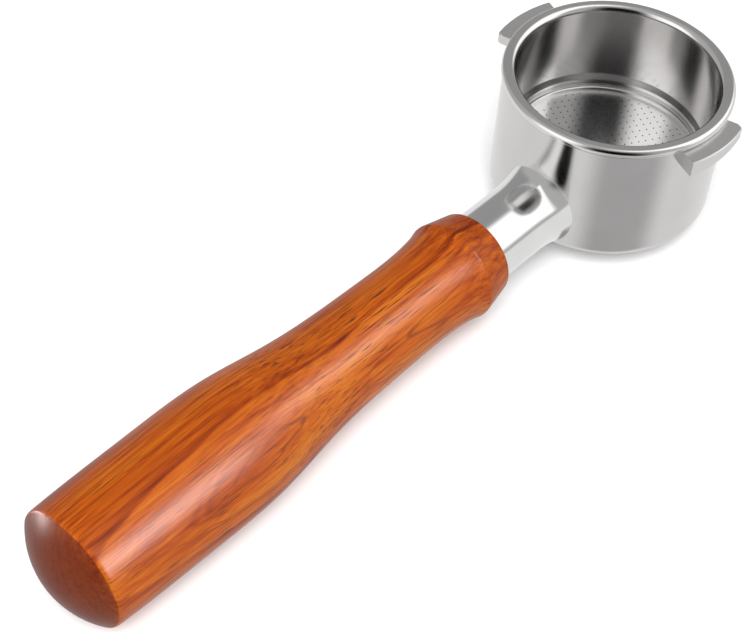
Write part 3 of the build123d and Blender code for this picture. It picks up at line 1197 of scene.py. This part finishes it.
soft_box("light_front", (0.50, -0.76, 1.24), (0, -0.07, -0.03), 1.0, 1.0, 30.0, in_reflections=False)
for name, place, aim, width, height, power in (
    ("light_grip", (0.12, -0.13, 0.055), (0, -0.17, -0.03), 0.09, 0.05, 0.75),
    ("light_ferrule", (0.11, 0.02, 0.10), (0, -0.08, -0.03), 0.09, 0.05, 0.40),
    ("light_butt", (-0.095, -0.215, -0.03), (-0.008, -0.183, -0.022), 0.07, 0.02, 0.17),
):
    soft_box(name, place, aim, width, height, power, in_reflections=True, only=grip)

# What the steel reflects: a pale table, a grey room, and five things standing round the object,
# painted over one another in this order. Angles in degrees, azimuth from +X toward +Y,
# elevation above the horizon.
TABLE = 0.90            # about as pale as the floor paper
ROOM = 0.50
SOFTBOX = 1.4
HORIZON_FADE = 3        # degrees above and below the horizon, from table to room
SEEN = 0.94             # brightness of the backdrop as the camera sees it
PANELS = [
    # azimuth, half width, lowest, highest, softness, brightness
    (60, 40, 10, 90, 10, SOFTBOX),      # large softbox behind, on the right
    (-100, 30, 0, 60, 25, SOFTBOX),     # softbox in front, on the left
    (130, 40, 0, 55, 15, 0.35),         # dark flag behind
    (-50, 30, -15, 60, 30, 0.0),        # the camera and whoever stands at it
    (-30, 35, -75, -30, 30, 0.5),       # their shade on the table
]

world = bpy.data.worlds.new("studio")
bpy.context.scene.world = world
sky = Nodes(world)
way = sky.add("ShaderNodeTexCoord").outputs["Generated"]
flat = sky.add("ShaderNodeVectorMath", operation="MULTIPLY")
sky.link(way, flat.inputs[0])
flat.inputs[1].default_value = (1, 1, 0)
level = sky.add("ShaderNodeVectorMath", operation="NORMALIZE")
sky.link(flat.outputs[0], level.inputs[0])
height = sky.math("ARCSINE", sky.part(way, "Z"))


WITHIN_ONE = 0.99999     # keeps rounding errors from taking a cosine past 1


def sector(azimuth, half_width, softness):
    """1 within a sector of azimuth, fading to 0 over the softness."""
    toward = sky.add("ShaderNodeVectorMath", operation="DOT_PRODUCT")
    sky.link(level.outputs[0], toward.inputs[0])
    a = math.radians(azimuth)
    toward.inputs[1].default_value = (math.cos(a), math.sin(a), 0)
    cosine = sky.math("MULTIPLY", toward.outputs["Value"], WITHIN_ONE)
    off = sky.math("ARCCOSINE", cosine)
    inside = math.radians(half_width - softness / 2)
    outside = math.radians(half_width + softness / 2)
    return sky.remap(off, inside, outside, 1.0, 0.0, smooth=True)


def between(low, high, softness):
    """1 between two elevations, with a fade centred on each of them."""
    fade = math.radians(softness / 2)
    low = math.radians(low)
    high = math.radians(high)
    rise = sky.remap(height, low - fade, low + fade, 0.0, 1.0, smooth=True)
    fall = sky.remap(height, high - fade, high + fade, 1.0, 0.0, smooth=True)
    return sky.math("MULTIPLY", rise, fall)


horizon = math.radians(HORIZON_FADE)
reflected = sky.remap(height, -horizon, horizon, TABLE, ROOM, smooth=True)
for azimuth, half_width, lowest, highest, softness, brightness in PANELS:
    across = sector(azimuth, half_width, softness)
    covers = sky.math("MULTIPLY", across, between(lowest, highest, softness))
    change = sky.math("SUBTRACT", brightness, reflected)
    reflected = sky.math("MULTIPLY_ADD", covers, change, reflected)
seen = sky.add("ShaderNodeLightPath").outputs["Is Camera Ray"]
shown = sky.add("ShaderNodeMix", data_type="FLOAT")
sky.link(seen, shown.inputs[0])
sky.link(reflected, shown.inputs[2])
shown.inputs[3].default_value = SEEN
background = sky.tree.nodes["Background"]
background.inputs["Color"].default_value = (1, 1, 1, 1)
sky.link(shown.outputs[0], background.inputs["Strength"])

# ---- camera
CAMERA_TARGET = Vector((-2.44, -85.85, -26.5)) * MM
CAMERA_DISTANCE = 412.4 * MM
CAMERA_AZIMUTH = math.radians(39.245)
CAMERA_ELEVATION = math.radians(48.398)
CAMERA_ROLL = math.radians(4.397)

forward = Vector(
    (
        -math.sin(CAMERA_AZIMUTH) * math.cos(CAMERA_ELEVATION),
        math.cos(CAMERA_AZIMUTH) * math.cos(CAMERA_ELEVATION),
        -math.sin(CAMERA_ELEVATION),
    )
)
level_right = Vector((math.cos(CAMERA_AZIMUTH), math.sin(CAMERA_AZIMUTH), 0))
level_up = level_right.cross(forward)
camera_right = level_right * math.cos(CAMERA_ROLL) + level_up * math.sin(CAMERA_ROLL)
camera_up = level_up * math.cos(CAMERA_ROLL) - level_right * math.sin(CAMERA_ROLL)
turn = Matrix((camera_right, camera_up, -forward)).transposed()

lens = bpy.data.cameras.new("camera")
lens.lens = 85.0
lens.sensor_width = 36.0
camera = bpy.data.objects.new("camera", lens)
camera.matrix_world = Matrix.Translation(CAMERA_TARGET - forward * CAMERA_DISTANCE) @ turn.to_4x4()
bpy.context.scene.collection.objects.link(camera)
bpy.context.scene.camera = camera

bpy.context.scene.view_settings.view_transform = "Standard"
bpy.context.scene.view_settings.look = "None"
bpy.context.scene.cycles.use_denoising = True
